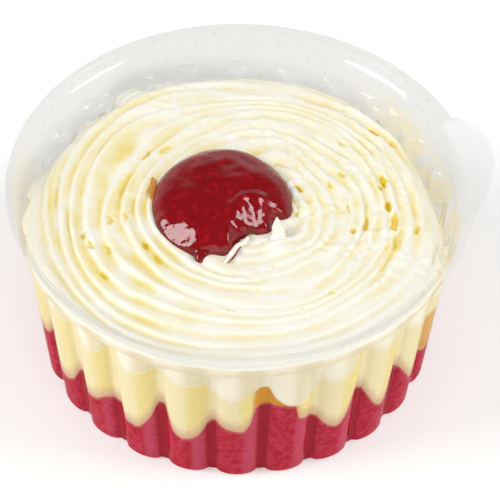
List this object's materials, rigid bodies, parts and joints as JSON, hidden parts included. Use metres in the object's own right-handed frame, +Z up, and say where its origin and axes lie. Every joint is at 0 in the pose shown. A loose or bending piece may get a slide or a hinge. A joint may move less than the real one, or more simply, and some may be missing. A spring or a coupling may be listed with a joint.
{
  "type": "trifle",
  "caption": "Layered dessert for one: red jelly, custard and ridged cream with a dollop of jam, filling a clear fluted plastic tub whose flat rim has a lid tab.",
  "frame": {"origin": "centre of the tub's flat underside, where it rests", "axes": "+Z up through the middle of the tub; +X towards the middle of the lid tab on the rim; +Y completes the right-handed frame"},
  "size_m": [0.0997, 0.095, 0.0436],
  "materials": {
    "clear_plastic": "clear thin-walled plastic, glossy",
    "red_jelly": "set berry jelly, moist and smooth",
    "yellow_custard": "set custard, smooth and satin",
    "white_cream": "whipped cream, soft satin with small pits",
    "red_jam": "seedless jam, wet gloss"
  },
  "bodies": {
    "root": {"tub": "clear_plastic", "jelly": "red_jelly", "custard": "yellow_custard", "cream": "white_cream", "jam": "red_jam"}
  },
  "joints": []
}
